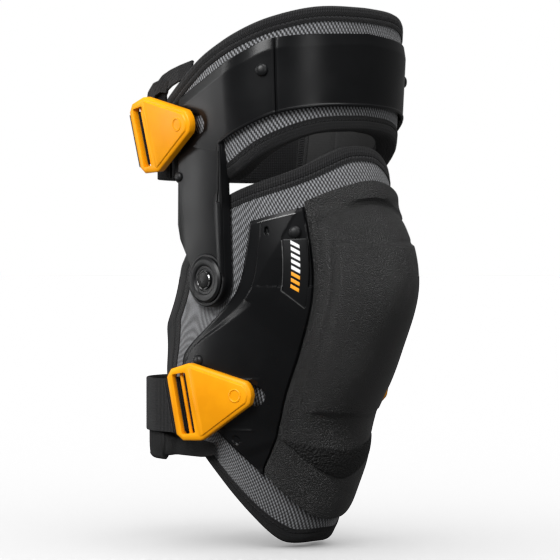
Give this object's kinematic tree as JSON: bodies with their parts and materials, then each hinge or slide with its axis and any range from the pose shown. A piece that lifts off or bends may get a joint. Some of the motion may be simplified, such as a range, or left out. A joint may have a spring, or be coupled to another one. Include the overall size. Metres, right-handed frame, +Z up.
{
  "type": "hinged knee pad",
  "caption": "Hinged knee pad: a padded shin unit with a domed rubber cap, a padded thigh cuff on two side pivots, and elastic straps with sliding hook buckles.",
  "frame": {"origin": "midway between the two side pivots, on their common axis", "axes": "+Z up the leg, -Y to the front of the knee, +X to the wearer's left"},
  "size_m": [0.1758, 0.1993, 0.3695],
  "materials": {
    "binding": "black ribbed twill tape",
    "mesh_cover": "coarse charcoal woven mesh",
    "foam": "closed-cell foam, hidden",
    "gel": "soft gel, hidden",
    "lining": "smooth dark lining",
    "cap_rubber": "fine-grained matte black",
    "grip_rubber": "coarse pebbled black",
    "badge": "plain light plate with a coloured stripe, no lettering",
    "shell_plastic": "satin black",
    "post_metal": "black snap rivet",
    "washer": "plain, hidden",
    "webbing": "black elastic webbing",
    "buckle": "yellow-orange moulded plastic"
  },
  "bodies": {
    "knee_unit": {"knee_foam": "foam", "knee_gel": "gel", "knee_liner": "lining", "knee_mesh": "mesh_cover", "knee_edge_top": "binding", "knee_edge_bottom": "binding", "knee_edge_rear_r": "binding", "knee_edge_rear_l": "binding", "knee_cap": "cap_rubber", "cap_core": "foam", "cap_grip": "grip_rubber", "side_plate_r": "shell_plastic", "side_plate_l": "shell_plastic", "badge_r": "badge", "badge_l": "badge", "plate_rivets_r": "shell_plastic", "plate_rivets_l": "shell_plastic", "pivot_post_r": "post_metal", "pivot_post_l": "post_metal", "pivot_washer_r": "washer", "pivot_washer_l": "washer", "lower_strap": "webbing", "calf_pad": "lining"},
    "thigh_unit": {"thigh_foam": "foam", "thigh_liner": "lining", "thigh_mesh": "mesh_cover", "thigh_edge_top": "binding", "thigh_edge_bottom": "binding", "thigh_edge_rear_r": "binding", "thigh_edge_rear_l": "binding", "thigh_panel": "shell_plastic", "side_arm_r": "shell_plastic", "side_arm_l": "shell_plastic", "hinge_disc_r": "shell_plastic", "hinge_disc_l": "shell_plastic", "thigh_rivets_r": "shell_plastic", "thigh_rivets_l": "shell_plastic", "upper_strap": "webbing", "strap_fold_r": "webbing", "strap_fold_l": "webbing"},
    "upper_buckle_right": {"upper_buckle_r": "buckle", "upper_strap_end_r": "webbing"},
    "upper_buckle_left": {"upper_buckle_l": "buckle", "upper_strap_end_l": "webbing"},
    "lower_buckle_right": {"lower_buckle_r": "buckle", "lower_strap_end_r": "webbing"},
    "lower_buckle_left": {"lower_buckle_l": "buckle", "lower_strap_end_l": "webbing"}
  },
  "joints": [
    {"name": "knee_pivot", "type": "hinge", "parent": "knee_unit", "child": "thigh_unit", "pos_m": [0, 0, 0], "axis": [-1, 0, 0], "range_deg": [0, 75]},
    {"name": "upper_buckle_slide_right", "type": "slide", "parent": "thigh_unit", "child": "upper_buckle_right", "axis": [-0.0611, -0.9981, 0], "range_m": [0, 0.014]},
    {"name": "upper_buckle_slide_left", "type": "slide", "parent": "thigh_unit", "child": "upper_buckle_left", "axis": [0.0611, -0.9981, 0], "range_m": [0, 0.014]},
    {"name": "lower_buckle_slide_right", "type": "slide", "parent": "knee_unit", "child": "lower_buckle_right", "axis": [0.2924, -0.9563, 0], "range_m": [0, 0.014]},
    {"name": "lower_buckle_slide_left", "type": "slide", "parent": "knee_unit", "child": "lower_buckle_left", "axis": [-0.2924, -0.9563, 0], "range_m": [0, 0.014]}
  ]
}
